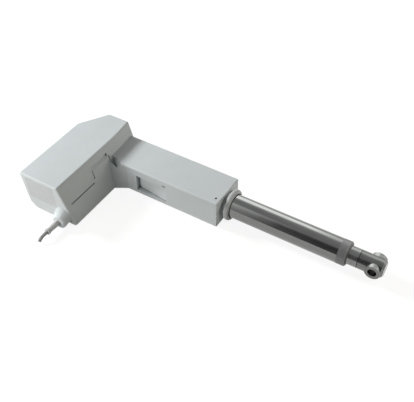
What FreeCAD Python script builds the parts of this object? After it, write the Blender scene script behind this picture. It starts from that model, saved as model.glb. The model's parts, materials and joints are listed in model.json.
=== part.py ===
"""Electric linear actuator: a worm-geared motor drives a spindle that pushes a tube out.

Millimetres. The origin is the centre of the rear eye, +X runs along the spindle to the rod end,
the motor stands out towards -Y and +Z is up.
"""
import FreeCAD, Part
import math
import os
import Sketcher
from types import SimpleNamespace

os.makedirs("parts", exist_ok=True)

doc = FreeCAD.newDocument("linear_actuator")
sheet = doc.addObject("Spreadsheet::Sheet", "sizes")
V = FreeCAD.Vector

# Driving dimensions
SIZES = {
    # Eyes
    "rod_standout": 37.5,
    "eye_bore": 12.2,
    "rear_eye_diameter": 20.0,
    "rear_eye_width": 24.0,
    "front_eye_diameter": 21.5,
    "front_eye_width": 28.5,
    "rod_end_body": 22.5,
    "rod_end_tip": 12.8,
    "rod_end_bevel": 3.0,
    "rod_end_lip": 0.8,
    "rod_end_spigot": 20.0,
    # Motor housing, measured from the spindle axis and the rear eye
    "left_wall": 17.9,
    "housing_width": 66.6,
    "left_lean": 5.0,
    "right_flare": 20.7,
    "label_reach": 136.8,
    "label_undercut": 5.0,
    "shoulder_reach": 8.6,
    "rear_reach": 35.2,
    "left_corner": 27.5,
    "right_taper": 3.6,
    "cover_height": 42.4,
    "base_depth": 22.1,
    "parting_depth": 13.5,
    "toe_bevel": 6.5,
    "wall": 3.0,
    "edge_round": 2.4,
    "window_gap": 0.6,
    # Details of the motor housing's right face
    "ledge_start": 67.0,
    "ledge_length": 36.0,
    "ledge_height": 24.0,
    "ledge_rise": 8.0,
    "ledge_depth": 2.0,
    "ledge_ramp": 3.0,
    "slit_width": 3.0,
    "slit_drop": 11.0,
    "slit_depth": 1.2,
    "vent_setback": 13.8,
    "vent_length": 51.0,
    "vent_height": 7.2,
    "vent_rise": 1.6,
    "vent_depth": 2.2,
    # Spindle housing
    "sleeve_front": 275.0,
    "sleeve_width": 60.6,
    "sleeve_height": 44.2,
    "sleeve_wall": 3.0,
    "sleeve_round": 2.0,
    "front_round": 1.0,
    "front_wall": 5.0,
    "recess_start": 139.0,
    "recess_length": 51.0,
    "recess_depth": 7.0,
    "recess_end_depth": 1.0,
    "recess_rise": 26.0,
    "recess_sill": 6.0,
    "latch_width": 5.0,
    "latch_rise": 3.0,
    "gusset_reach": 10.7,
    "gusset_foot": 17.5,
    "gusset_rise": 41.5,
    "gusset_tip": 2.0,
    "notch_width": 11.3,
    "notch_depth": 8.3,
    "notch_height": 12.0,
    "notch_slope": 11.0,
    "top_hole_diameter": 3.4,
    "top_hole_setback": 7.0,
    "top_hole_offset": 20.4,
    # Tubes and their ends
    "collar_rim": 5.5,
    "collar_length": 12.5,
    "collar_round": 3.9,
    "collar_groove": 1.2,
    "collar_neck": 1.4,
    "collar_neck_length": 4.0,
    "tube_diameter": 35.0,
    "tube_wall": 2.0,
    "end_ring_length": 12.0,
    "end_ring_bevel": 1.2,
    "bush_length": 40.0,
    "wiper_seat": 4.0,
    "wiper_lip": 1.2,
    "wiper_thickness": 2.2,
    "bush_wall": 2.5,
    "rod_wall": 2.5,
    "rod_pin_diameter": 4.0,
    # Spindle drive
    "stroke": 250.0,
    "stop_gap": 8.0,
    "spindle_diameter": 14.0,
    "spindle_end": 8.0,
    "journal_diameter": 12.0,
    "nut_setback": 12.0,
    "nut_length": 38.0,
    "nut_flange": 12.0,
    "nut_ring_width": 6.0,
    "nut_ring_thickness": 2.0,
    "guide_disc_length": 6.0,
    "guide_disc_bore": 9.0,
    "bearing_width": 8.0,
    "bearing_groove": 1.0,
    "clip_thickness": 1.2,
    "clip_diameter": 15.0,
    # Worm gear and its case
    "centre_distance": 18.0,
    "gear_module": 1.25,
    "tooth_play": 0.75,
    "wheel_gap": 0.25,
    "wheel_width": 14.0,
    "key_width": 4.0,
    "key_height": 4.0,
    "key_length": 12.0,
    "case_wall": 3.6,
    "case_front": 84.0,
    "worm_case_diameter": 22.0,
    "worm_case_end": 30.5,
    "worm_bearing_diameter": 16.0,
    "worm_bearing_width": 7.0,
    "worm_journal": 8.0,
    "adapter_reach": 16.0,
    # Motor
    "motor_axis": 58.0,
    "motor_diameter": 40.8,
    "motor_wall": 1.6,
    "motor_front": 34.0,
    "motor_setback": 20.8,
    "motor_flange": 5.0,
    "end_cap_length": 6.0,
    "end_cap_skirt": 13.0,
    "end_cap_bore": 24.0,
    "shaft_diameter": 6.0,
    "bush_diameter": 11.0,
    "magnet_thickness": 3.0,
    "magnet_overhang": 2.0,
    "air_gap": 0.5,
    "motor_end_room": 42.0,
    "core_start": 21.0,
    "core_slots": 8.0,
    "slot_width": 3.0,
    "slot_depth": 7.0,
    "winding_length": 6.0,
    "winding_diameter": 26.0,
    "commutator_diameter": 12.0,
    "commutator_length": 10.0,
    "brush_width": 5.0,
    "brush_height": 4.0,
    # Limit switches
    "board_start": 150.0,
    "board_length": 100.0,
    "board_height": 16.0,
    "board_thickness": 1.6,
    "switch_length": 12.0,
    "switch_height": 6.0,
    "switch_depth": 6.0,
    # Cable exit
    "gland_standout": 10.2,
    "gland_base": 27.0,
    "gland_nose": 22.0,
    "gland_rise": 4.5,
    "gland_side": 1.0,
    "gland_drop": 1.5,
    "gland_round": 4.0,
    "cable_side": 1.5,
    "cable_height": 10.1,
    "cable_diameter": 5.0,
    "boot_length": 22.0,
    "boot_root": 9.5,
    "boot_tip": 7.6,
    "boot_collar": 9.2,
    "boot_collar_length": 3.0,
    # Screws
    "screw_diameter": 4.0,
    "screw_head": 7.5,
    "screw_head_height": 2.4,
    "screw_length": 18.0,
    "screw_inset": 4.5,
    "boss_diameter": 8.0,
    "boss_height": 20.0,
    "boss_web": 2.0,
    "motor_screw_circle": 29.0,
    # Clearances
    "running_gap": 0.05,
    "seat_gap": 0.05,
    "slide_gap": 0.1,
}

# Formula units: a slanted wall measured along X, and room past a face for a clean cut
SLANT = 1.06
CORNER_SLANT = 1.2
OVERCUT = 2.0

# Worm gear: counts, and the flank's slope and the foot's depth as shares of the module
WHEEL_TEETH = 20
WORM_STARTS = 2
THREAD_TURNS = 3.5
FLANK_SLOPE = 0.364
TOOTH_FOOT = 1.2


class Size:
    """A number together with the sheet formula that gives it."""

    def __init__(self, value, formula):
        self.value = value
        self.formula = formula

    def combined(self, other, sign, value):
        return Size(value, "(%s %s %s)" % (self.formula, sign, other.formula))

    def __add__(self, other):
        other = as_size(other)
        return self.combined(other, "+", self.value + other.value)

    def __sub__(self, other):
        other = as_size(other)
        return self.combined(other, "-", self.value - other.value)

    def __mul__(self, other):
        other = as_size(other)
        return self.combined(other, "*", self.value * other.value)

    def __truediv__(self, other):
        other = as_size(other)
        return self.combined(other, "/", self.value / other.value)

    def __radd__(self, other):
        return as_size(other) + self

    def __rsub__(self, other):
        return as_size(other) - self

    def __rmul__(self, other):
        return as_size(other) * self

    def __neg__(self):
        return Size(-self.value, "(0 - %s)" % self.formula)


def as_size(number):
    if isinstance(number, Size):
        return number
    return Size(float(number), "(%s)" % float(number))


def fill_sheet():
    """One row for each driving dimension: its name and its value."""
    named = {}
    for row, (name, value) in enumerate(SIZES.items(), start=1):
        sheet.set("A%d" % row, name)
        sheet.set("B%d" % row, str(value))
        sheet.setAlias("B%d" % row, name)
        named[name] = Size(value, "sizes." + name)
    return SimpleNamespace(**named)


d = fill_sheet()
doc.recompute()
nodes = []


# Drawing helpers

def bind(item, prop, length):
    item.setExpression(prop, as_size(length).formula)


def place(item, x=0, y=0, z=0):
    for axis, length in zip("xyz", (x, y, z)):
        bind(item, "Placement.Base." + axis, length)
    return item


def node(item, name):
    """The finished sub-part: its label names its file."""
    item.Label = name
    nodes.append(item)
    return item


def new_body(name):
    body = doc.addObject("PartDesign::Body", name)
    body.Label = name
    return body


def new_sketch(body, name, role, offset=0):
    drawing = body.newObject("Sketcher::SketchObject", name)
    plane = next(item for item in body.Origin.OriginFeatures if item.Role == role)
    drawing.AttachmentSupport = [(plane, "")]
    drawing.MapMode = "FlatFace"
    bind(drawing, "AttachmentOffset.Base.z", offset)
    return drawing


def fix_point(drawing, geometry, end, across, up):
    for kind, length in (("DistanceX", across), ("DistanceY", up)):
        length = as_size(length)
        index = drawing.addConstraint(Sketcher.Constraint(kind, -1, 1, geometry, end, length.value))
        drawing.setExpression("Constraints[%d]" % index, length.formula)


def outline(body, name, role, points, offset=0):
    """A closed outline of straight edges with every corner tied to the sheet."""
    drawing = new_sketch(body, name, role, offset)
    corners = [V(as_size(across).value, as_size(up).value, 0) for across, up in points]
    count = len(points)
    for i in range(count):
        drawing.addGeometry(Part.LineSegment(corners[i], corners[(i + 1) % count]))
    for i in range(count):
        drawing.addConstraint(Sketcher.Constraint("Coincident", i, 2, (i + 1) % count, 1))
    for i, (across, up) in enumerate(points):
        fix_point(drawing, i, 1, across, up)
    return drawing


def circle(body, name, role, across, up, diameter, offset=0):
    drawing = new_sketch(body, name, role, offset)
    across, up, radius = as_size(across), as_size(up), as_size(diameter) / 2
    drawing.addGeometry(Part.Circle(V(across.value, up.value, 0), V(0, 0, 1), radius.value))
    fix_point(drawing, 0, 3, across, up)
    index = drawing.addConstraint(Sketcher.Constraint("Radius", 0, radius.value))
    drawing.setExpression("Constraints[%d]" % index, radius.formula)
    return drawing


def pad(body, drawing, length, symmetric=False):
    feature = body.newObject("PartDesign::Pad", drawing.Name + "_pad")
    feature.Profile = drawing
    if symmetric:
        feature.SideType = "Symmetric"
    bind(feature, "Length", length)
    return feature


def pocket(body, drawing, length, symmetric=False):
    feature = body.newObject("PartDesign::Pocket", drawing.Name + "_pocket")
    feature.Profile = drawing
    if symmetric:
        feature.SideType = "Symmetric"
    bind(feature, "Length", length)
    return feature


def slant(feature, along, across, up):
    """Sends a cut off at a slant; its length stays the depth below its drawing."""
    feature.UseCustomVector = True
    feature.AlongSketchNormal = True
    bind(feature, "Direction.x", along)
    bind(feature, "Direction.y", across)
    bind(feature, "Direction.z", up)


def loft(body, first, second):
    feature = body.newObject("PartDesign::AdditiveLoft", first.Name + "_loft")
    feature.Profile = first
    feature.Sections = [second]
    feature.Ruled = True
    return feature


def revolve(body, drawing, axis):
    feature = body.newObject("PartDesign::Revolution", drawing.Name + "_turn")
    feature.Profile = drawing
    feature.ReferenceAxis = (drawing, [axis])
    feature.Angle = 360
    return feature


def pattern(body, feature, role, count):
    """Repeats the body's last feature round one of its axes."""
    repeat = body.newObject("PartDesign::PolarPattern", feature.Name + "_pattern")
    axis = next(item for item in body.Origin.OriginFeatures if item.Role == role)
    repeat.Originals = [feature]
    repeat.Axis = (axis, [""])
    repeat.Angle = 360
    repeat.Occurrences = count
    body.Tip = repeat
    return repeat


def turned_x(name, profile):
    """A round piece on the spindle axis: the profile lists (x, radius)."""
    body = new_body(name)
    revolve(body, outline(body, name + "_profile", "XY_Plane", profile), "H_Axis")
    return body


def turned_y(name, profile):
    """A round piece on the motor axis: the profile lists (radius, y)."""
    body = new_body(name)
    revolve(body, outline(body, name + "_profile", "XY_Plane", profile), "V_Axis")
    return place(body, d.motor_axis, 0, d.centre_distance)


def ring(inner, outer, start, end):
    """The (x, radius) profile of a plain ring, from its diameters."""
    return [(start, inner / 2), (end, inner / 2), (end, outer / 2), (start, outer / 2)]


def ring_y(inner, outer, start, end):
    return [(radius, along) for along, radius in ring(inner, outer, start, end)]


def box(name, x, y, z, along, across, up):
    item = doc.addObject("Part::Box", name)
    bind(item, "Length", along)
    bind(item, "Width", across)
    bind(item, "Height", up)
    return place(item, x, y, z)


TURN = {"X": (V(0, 1, 0), 90), "Y": (V(1, 0, 0), -90), "Z": (V(0, 0, 1), 0)}


def cylinder(name, axis, diameter, length, x, y, z):
    item = doc.addObject("Part::Cylinder", name)
    bind(item, "Radius", as_size(diameter) / 2)
    bind(item, "Height", length)
    item.Placement = FreeCAD.Placement(V(0, 0, 0), FreeCAD.Rotation(*TURN[axis]))
    return place(item, x, y, z)


def fuse(name, *items):
    item = doc.addObject("Part::MultiFuse", name)
    item.Shapes = list(items)
    return item


def cut(name, base, *tools):
    item = doc.addObject("Part::Cut", name)
    item.Base = base
    item.Tool = tools[0] if len(tools) == 1 else fuse(name + "_tools", *tools)
    return item


def common(name, first, second):
    item = doc.addObject("Part::Common", name)
    item.Base = first
    item.Tool = second
    return item


def group(name, items):
    item = doc.addObject("Part::Compound", name)
    item.Links = list(items)
    return item


def round_edges(body, radius, wanted):
    """Rounds the edges of the body's last feature whose ends all satisfy the test."""
    doc.recompute()
    feature = body.Tip
    names = []
    for index, edge in enumerate(feature.Shape.Edges, start=1):
        if wanted([vertex.Point for vertex in edge.Vertexes]):
            names.append("Edge%d" % index)
    rounding = body.newObject("PartDesign::Fillet", body.Name + "_round")
    rounding.Base = (feature, names)
    bind(rounding, "Radius", radius)
    return rounding


# Worm gear: pitch and outside diameters, and the bore that takes the wheel and its bearings

wheel_pitch = d.gear_module * WHEEL_TEETH
worm_pitch = 2 * d.centre_distance - wheel_pitch
wheel_diameter = wheel_pitch + 2 * d.gear_module
worm_diameter = worm_pitch + 2 * d.gear_module
tooth_pitch = d.gear_module * math.pi
bearing_diameter = wheel_diameter + 2 * d.wheel_gap


# Motor housing

housing_height = d.cover_height + d.base_depth
parting = -d.parting_depth
floor = -d.base_depth


def left_face(z):
    return d.left_wall + d.left_lean * (d.cover_height - z) / housing_height


def right_face(z):
    return d.left_wall + d.housing_width + d.right_flare * (d.cover_height - z) / housing_height


def label_face(z):
    return d.label_undercut * (d.cover_height - z) / housing_height - d.label_reach


def motor_block(name, low, high, inset, toe=0):
    """The housing's faceted form between two heights, its faces moved inwards by the inset."""
    body = new_body(name)
    rear = d.rear_reach - inset
    section = [
        (left_face(low) + toe + inset, low),
        (right_face(low) - inset * SLANT, low),
        (right_face(high) - inset * SLANT, high),
        (left_face(high) + inset, high),
    ]
    pad(body, outline(body, name + "_section", "XZ_Plane", section, -rear), rear + d.label_reach - inset)

    end = d.label_reach + OVERCUT
    undercut = [
        (-end, high),
        (label_face(high) + inset, high),
        (label_face(low) + inset, low),
        (-end, low),
    ]
    reach = (d.left_wall + d.housing_width + d.right_flare) * 4
    pocket(body, outline(body, name + "_undercut", "YZ_Plane", undercut), reach, symmetric=True)

    shift = inset * CORNER_SLANT
    start = d.left_wall + shift
    slope_x = d.left_corner / (d.rear_reach + d.shoulder_reach)
    over = d.rear_reach + OVERCUT
    corner = [
        (start - slope_x * OVERCUT, -d.shoulder_reach - OVERCUT),
        (start + slope_x * (over + d.shoulder_reach), over),
        (start - d.left_wall, over),
        (start - d.left_wall, -d.shoulder_reach - OVERCUT),
    ]
    pocket(body, outline(body, name + "_corner", "XY_Plane", corner), housing_height * 4, symmetric=True)

    top = high + OVERCUT
    edge = right_face(top) - inset * SLANT
    taper_x = d.right_taper / (d.rear_reach + d.shoulder_reach)
    taper = [
        (edge, -d.shoulder_reach),
        (edge - taper_x * (over + d.shoulder_reach), over),
        (edge + d.housing_width, over),
        (edge + d.housing_width, -d.shoulder_reach),
    ]
    taper_cut = pocket(body, outline(body, name + "_taper", "XY_Plane", taper, top), housing_height * 2)
    slant(taper_cut, d.right_flare, 0, -housing_height)
    return body


def screw_places():
    """The four housing screws, beside the motor's ends."""
    left = d.left_wall + d.left_lean + d.toe_bevel + d.screw_inset
    right = d.left_wall + d.housing_width + d.screw_inset
    front = d.wall + d.label_undercut + d.screw_inset - d.label_reach
    back = -d.motor_front - d.motor_flange
    return [(left, front), (right, front), (left, back), (right, back)]


def tube_opening(name):
    """The way out through the right wall for the spindle and its tube, open downwards."""
    bore = d.tube_diameter + 2 * d.window_gap
    start = d.motor_axis + bearing_diameter / 2
    length = d.housing_width
    hole = cylinder(name + "_hole", "X", bore, length, start, 0, 0)
    slot = box(name + "_slot", start, -bore / 2, floor + d.wall, length, bore, d.base_depth - d.wall)
    return fuse(name, hole, slot)


cable_x = d.left_wall + d.housing_width + d.cable_side
cable_z = floor + d.cable_height
gland_face = -d.label_reach - d.gland_standout


def cable_hole(name):
    return cylinder(name, "Y", d.cable_diameter + 2 * d.slide_gap, d.label_reach / 2,
                    cable_x, -d.label_reach - OVERCUT, cable_z)


def face_slot(name, low, rise, depth, end, length):
    """A shallow cut into the housing's right face."""
    body = new_body(name)
    high = low + rise
    section = [
        (right_face(low) - depth, low),
        (right_face(low) + OVERCUT, low),
        (right_face(high) + OVERCUT, high),
        (right_face(high) - depth, high),
    ]
    pad(body, outline(body, name + "_section", "XZ_Plane", section, end), length)
    return body


def build_cover():
    block = motor_block("cover_block", parting, d.cover_height, 0)
    parting_height = parting.value
    round_edges(block, d.edge_round, lambda ends: any(p.z > parting_height + 1 for p in ends))
    cavity = motor_block("cover_cavity", parting - OVERCUT, d.cover_height - d.wall, d.wall)
    shell = cut("cover_shell", block, cavity)

    posts = []
    pilots = []
    side = d.housing_width / 2
    for i, (x, y) in enumerate(screw_places()):
        posts.append(cylinder("cover_post%d" % i, "Z", d.boss_diameter, d.boss_height, x, y, parting))
        outwards = x if i % 2 else x - side
        web = box("cover_web%d" % i, outwards, y - d.boss_web / 2, parting, side, d.boss_web, d.boss_height)
        posts.append(web)
        pilots.append(cylinder("cover_pilot%d" % i, "Z", d.screw_diameter, d.boss_height - d.wall, x, y,
                               parting - OVERCUT))
    ledge_top = d.ledge_height + d.ledge_rise
    ledge_back = right_face(ledge_top) - d.ledge_depth
    posts.append(box("ledge_backing", ledge_back - d.wall, -d.ledge_start - d.wall, d.ledge_height - d.wall,
                     d.right_flare, d.ledge_length + 2 * d.wall, d.ledge_rise + 2 * d.wall))
    bosses = common("cover_bosses", fuse("cover_posts", *posts), block)
    carcass = fuse("cover_carcass", shell, bosses)

    half_window = d.rear_eye_width / 2 + d.window_gap
    window_top = d.rear_eye_diameter / 2 + d.window_gap
    window = box("lug_window", 0, -half_window, parting - OVERCUT,
                 d.left_wall + d.left_corner, 2 * half_window, window_top - parting + OVERCUT)

    ledge = new_body("ledge_pocket")
    section = [
        (ledge_back, d.ledge_height + d.ledge_ramp),
        (right_face(d.ledge_height), d.ledge_height),
        (right_face(d.ledge_height) + OVERCUT, d.ledge_height),
        (right_face(ledge_top) + OVERCUT, ledge_top),
        (ledge_back, ledge_top),
    ]
    ledge_end = d.ledge_start - d.ledge_length
    pad(ledge, outline(ledge, "ledge_section", "XZ_Plane", section, ledge_end), d.ledge_length)

    vent_end = d.label_reach - d.vent_setback - d.vent_length
    vent = face_slot("vent_slot", d.vent_height, d.vent_rise, d.vent_depth, vent_end, d.vent_length)
    slit_low = d.ledge_height - d.slit_drop
    slit_rise = d.slit_drop + d.ledge_ramp
    slits = [face_slot("ledge_slit%d" % i, slit_low, slit_rise, d.slit_depth, end, d.slit_width)
             for i, end in enumerate((ledge_end - d.slit_width, d.ledge_start))]

    finished = cut("cover_finished", carcass, window, tube_opening("cover_opening"), ledge, vent,
                   cable_hole("cover_cable_hole"), *slits, *pilots)
    return node(finished, "motor_cover")


def build_base():
    block = motor_block("base_block", floor, parting, 0, d.toe_bevel)
    round_edges(block, d.edge_round, lambda ends: abs(ends[0].z - ends[-1].z) > 1)
    cavity = motor_block("base_cavity", floor + d.wall, parting + OVERCUT, d.wall, d.toe_bevel)
    tray = cut("base_tray", block, cavity)
    posts = []
    holes = []
    for i, (x, y) in enumerate(screw_places()):
        posts.append(cylinder("base_post%d" % i, "Z", d.boss_diameter, parting - floor, x, y, floor))
        holes.append(cylinder("base_hole%d" % i, "Z", d.screw_diameter + 2 * d.slide_gap,
                              housing_height, x, y, floor))
        holes.append(cylinder("base_sink%d" % i, "Z", d.screw_head + 2 * d.slide_gap,
                              d.screw_head_height + OVERCUT, x, y, floor - OVERCUT))
    carcass = fuse("base_carcass", tray, *posts)
    openings = [tube_opening("base_opening"), cable_hole("base_cable_hole")]
    finished = cut("base_finished", carcass, *openings, *holes)
    return node(finished, "gearbox_base")


def build_housing_screws():
    screws = []
    for i, (x, y) in enumerate(screw_places()):
        head = cylinder("housing_screw_head%d" % i, "Z", d.screw_head, d.screw_head_height, x, y, floor)
        shank = cylinder("housing_screw_shank%d" % i, "Z", d.screw_diameter, d.screw_length, x, y,
                         floor + d.screw_head_height)
        screws.append(fuse("housing_screw%d" % i, head, shank))
    return node(group("housing_screw_set", screws), "housing_screws")


# Spindle housing

half_sleeve = d.sleeve_width / 2
sleeve_top = floor + d.sleeve_height


def gusset_plan(corner, along, out):
    """The gusset's outline at one height: it reaches along the sleeve and out along the housing."""
    inside = d.sleeve_wall - half_sleeve
    behind = corner - d.housing_width / 4
    return [
        (corner + along, inside),
        (corner + along, -half_sleeve),
        (corner, -half_sleeve - out),
        (behind, -half_sleeve - out),
        (behind, inside),
    ]


def build_spindle_housing(envelope):
    body = new_body("sleeve_block")
    start = d.motor_axis
    section = [
        (-half_sleeve, floor),
        (half_sleeve, floor),
        (half_sleeve, sleeve_top),
        (-half_sleeve, sleeve_top),
    ]
    pad(body, outline(body, "sleeve_section", "YZ_Plane", section, start), d.sleeve_front - start)
    front = d.sleeve_front.value
    above = floor.value + 1
    round_edges(body, d.sleeve_round, lambda ends: all(p.z > above for p in ends)
                and abs(ends[0].x - ends[-1].x) > 1)
    round_edges(body, d.front_round, lambda ends: all(p.x > front - 1e-6 for p in ends)
                and any(p.z > above for p in ends))

    foot_corner = right_face(floor)
    gusset_top = floor + d.gusset_rise
    tip_corner = right_face(gusset_top)
    foot = gusset_plan(foot_corner, d.gusset_foot, d.gusset_reach)
    tip = gusset_plan(tip_corner, foot_corner + d.gusset_foot - tip_corner, d.gusset_tip)
    loft(body, outline(body, "gusset_foot", "XY_Plane", foot, floor),
         outline(body, "gusset_tip", "XY_Plane", tip, gusset_top))

    near = -half_sleeve
    outside = near - OVERCUT
    recess_end = d.recess_start + d.recess_length
    sill = floor + d.recess_sill
    recess = [
        (d.recess_start, outside),
        (recess_end, outside),
        (recess_end, near + d.recess_end_depth),
        (d.recess_start, near + d.recess_depth),
    ]
    pocket(body, outline(body, "recess_plan", "XY_Plane", recess, sill + d.recess_rise), d.recess_rise)

    notch_corner = right_face(sleeve_top - d.notch_height) + d.notch_slope - d.notch_width / 3
    notch_lean = d.notch_width / d.notch_depth
    notch = [
        (notch_corner, near + d.notch_depth),
        (notch_corner + notch_lean * (d.notch_depth + OVERCUT), outside),
        (d.motor_axis, outside),
        (d.motor_axis, near + d.notch_depth),
    ]
    notch_cut = pocket(body, outline(body, "notch_plan", "XY_Plane", notch, sleeve_top), d.notch_height)
    slant(notch_cut, -d.notch_slope, 0, -d.notch_height)

    latch_right = recess_end
    latch_low = sill + d.recess_rise
    latch = [
        (latch_right - d.latch_width, latch_low),
        (latch_right, latch_low),
        (latch_right, latch_low + d.latch_rise),
        (latch_right - d.latch_width, latch_low + d.latch_rise),
    ]
    pocket(body, outline(body, "latch_face", "XZ_Plane", latch, half_sleeve), d.sleeve_wall)

    hole = circle(body, "top_hole", "XY_Plane", d.sleeve_front - d.top_hole_setback, -d.top_hole_offset,
                  d.top_hole_diameter, sleeve_top)
    pocket(body, hole, d.sleeve_wall)

    inner = half_sleeve - d.sleeve_wall
    room = box("sleeve_room", start - OVERCUT, -inner, floor + d.sleeve_wall,
               d.sleeve_front - d.front_wall - start + OVERCUT, 2 * inner,
               d.sleeve_height - 2 * d.sleeve_wall)
    backing = box("recess_backing", d.recess_start - d.sleeve_wall, -half_sleeve, floor,
                  d.recess_length + 2 * d.sleeve_wall, d.recess_depth + d.sleeve_wall, d.sleeve_height)
    notch_backing = box("notch_backing", start - OVERCUT, near, sleeve_top - d.notch_height - d.sleeve_wall,
                        notch_corner + d.notch_width + d.sleeve_wall - start + OVERCUT,
                        d.notch_depth + d.sleeve_wall, d.notch_height + d.sleeve_wall)
    hollow = cut("sleeve_hollow", room, backing, notch_backing)
    bore = cylinder("sleeve_bore", "X", d.tube_diameter + 2 * d.seat_gap, 2 * d.front_wall,
                    d.sleeve_front - d.front_wall - OVERCUT, 0, 0)
    finished = cut("sleeve_finished", body, hollow, bore, envelope)
    return node(finished, "spindle_housing")


def build_collar():
    start = d.sleeve_front
    end = start + d.collar_length
    bead = start + d.collar_neck_length
    inner = d.tube_diameter / 2 + d.seat_gap
    outer = d.tube_diameter / 2 + d.collar_rim
    neck = d.tube_diameter / 2 + d.collar_neck
    groove = inner + d.collar_groove
    body = turned_x("front_collar", [
        (start, inner),
        (end - d.collar_groove, inner),
        (end - d.collar_groove, groove),
        (end, groove),
        (end, outer),
        (bead, outer),
        (bead, neck),
        (start, neck),
    ])
    rim = outer.value
    round_edges(body, d.collar_round, lambda ends: all(abs(V(0, p.y, p.z).Length - rim) < 1e-6 for p in ends)
                and abs(ends[0].x - ends[-1].x) < 1e-6)
    return node(body, "front_collar")


# Tubes

tube_bore = d.tube_diameter - 2 * d.tube_wall
rod_diameter = tube_bore - 2 * d.bush_wall
rod_bore = rod_diameter - 2 * d.rod_wall
nut_rear = d.case_front + d.adapter_reach + d.nut_setback
nut_front = nut_rear + d.nut_length
bush_start = nut_front + d.stroke + d.stop_gap
ring_start = bush_start + d.bush_length
tube_end = ring_start + d.end_ring_length
eye_distance = tube_end + d.rod_standout
rod_front = eye_distance - d.rod_end_body
rod_start = nut_rear + d.nut_flange
rod_radius = rod_diameter / 2


def build_guide_bush():
    outer = d.tube_diameter / 2
    spigot = tube_bore / 2 - d.seat_gap
    inner = rod_radius + d.running_gap
    seat = inner + d.wiper_thickness
    front = tube_end
    body = turned_x("guide_bush", [
        (bush_start, inner),
        (front - d.wiper_seat, inner),
        (front - d.wiper_seat, seat),
        (front, seat),
        (front, outer - d.end_ring_bevel),
        (front - d.end_ring_bevel, outer),
        (ring_start, outer),
        (ring_start, spigot),
        (bush_start, spigot),
    ])
    node(body, "guide_bush")
    outside = seat - d.seat_gap
    lip = front + d.wiper_lip
    seal = turned_x("wiper_seal", [
        (front - d.wiper_seat, inner),
        (lip, inner),
        (lip, inner + d.wiper_thickness / 3),
        (front, outside),
        (front - d.wiper_seat, outside),
    ])
    node(seal, "wiper_seal")


def pin_x():
    return (tube_end + d.wiper_lip + rod_front) / 2


def pin_hole(name, diameter):
    return cylinder(name, "Y", diameter, rod_diameter + 2 * OVERCUT, pin_x(), -rod_radius - OVERCUT, 0)


def build_push_tube():
    blank = turned_x("push_tube_blank", ring(rod_bore, rod_diameter, rod_start, rod_front))
    node(cut("push_tube_cut", blank, pin_hole("tube_pin_hole", d.rod_pin_diameter)), "push_tube")


def build_outer_tube():
    node(turned_x("outer_tube", ring(tube_bore, d.tube_diameter, d.case_front, ring_start)), "outer_tube")


def build_nut():
    inner = d.spindle_diameter / 2 + d.slide_gap
    spigot = rod_bore / 2 - d.seat_gap
    flange = tube_bore / 2 - d.nut_ring_thickness / 4
    groove = tube_bore / 2 - d.nut_ring_thickness
    middle = nut_rear + d.nut_flange / 2
    groove_start = middle - d.nut_ring_width / 2
    groove_end = middle + d.nut_ring_width / 2
    node(turned_x("drive_nut", [
        (nut_rear, inner),
        (nut_front, inner),
        (nut_front, spigot),
        (rod_start, spigot),
        (rod_start, flange),
        (groove_end, flange),
        (groove_end, groove),
        (groove_start, groove),
        (groove_start, flange),
        (nut_rear, flange),
    ]), "drive_nut")
    slide = ring(2 * groove, tube_bore - 2 * d.slide_gap, groove_start, groove_end)
    node(turned_x("nut_slide_ring", slide), "nut_slide_ring")


def build_rod_end():
    tip = eye_distance + d.rod_end_tip
    spigot = rod_bore / 2 - d.seat_gap
    body = turned_x("rod_end_blank", [
        (rod_front - d.rod_end_spigot, 0),
        (tip, 0),
        (tip, rod_radius - d.rod_end_bevel),
        (tip - d.rod_end_bevel, rod_radius),
        (rod_front + d.rod_end_lip, rod_radius),
        (rod_front, rod_radius - d.rod_end_lip),
        (rod_front, spigot),
        (rod_front - d.rod_end_spigot, spigot),
    ])
    boss = circle(body, "eye_boss", "XZ_Plane", eye_distance, 0, d.front_eye_diameter)
    pad(body, boss, d.front_eye_width, symmetric=True)
    hole = circle(body, "eye_hole", "XZ_Plane", eye_distance, 0, d.eye_bore)
    pocket(body, hole, d.front_eye_width + 2 * OVERCUT, symmetric=True)
    node(cut("rod_end_cut", body, pin_hole("end_pin_hole", d.rod_pin_diameter)), "rod_end")
    pin = cylinder("pin_blank", "Y", d.rod_pin_diameter, rod_diameter - 2 * d.slide_gap,
                   pin_x(), d.slide_gap - rod_radius, 0)
    node(common("rod_end_pin_shape", pin, cylinder("pin_limit", "X", rod_diameter - 2 * d.slide_gap,
                rod_diameter, pin_x() - rod_radius, 0, 0)), "rod_end_pin")


# Spindle and its bearings

wheel_start = d.motor_axis - d.wheel_width / 2
wheel_end = wheel_start + d.wheel_width
rear_bearing = wheel_start - d.bearing_width - d.slide_gap
front_bearing = wheel_end + d.slide_gap
adapter_start = front_bearing + d.bearing_width
journal = d.journal_diameter / 2
spindle_start = rear_bearing - 2 * d.clip_thickness
spindle_front = nut_front + d.stroke + d.spindle_end


def key_box(name):
    return box(name, d.motor_axis - d.key_length / 2, -d.key_width / 2, journal - d.key_height / 2,
               d.key_length, d.key_width, d.key_height)


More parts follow.
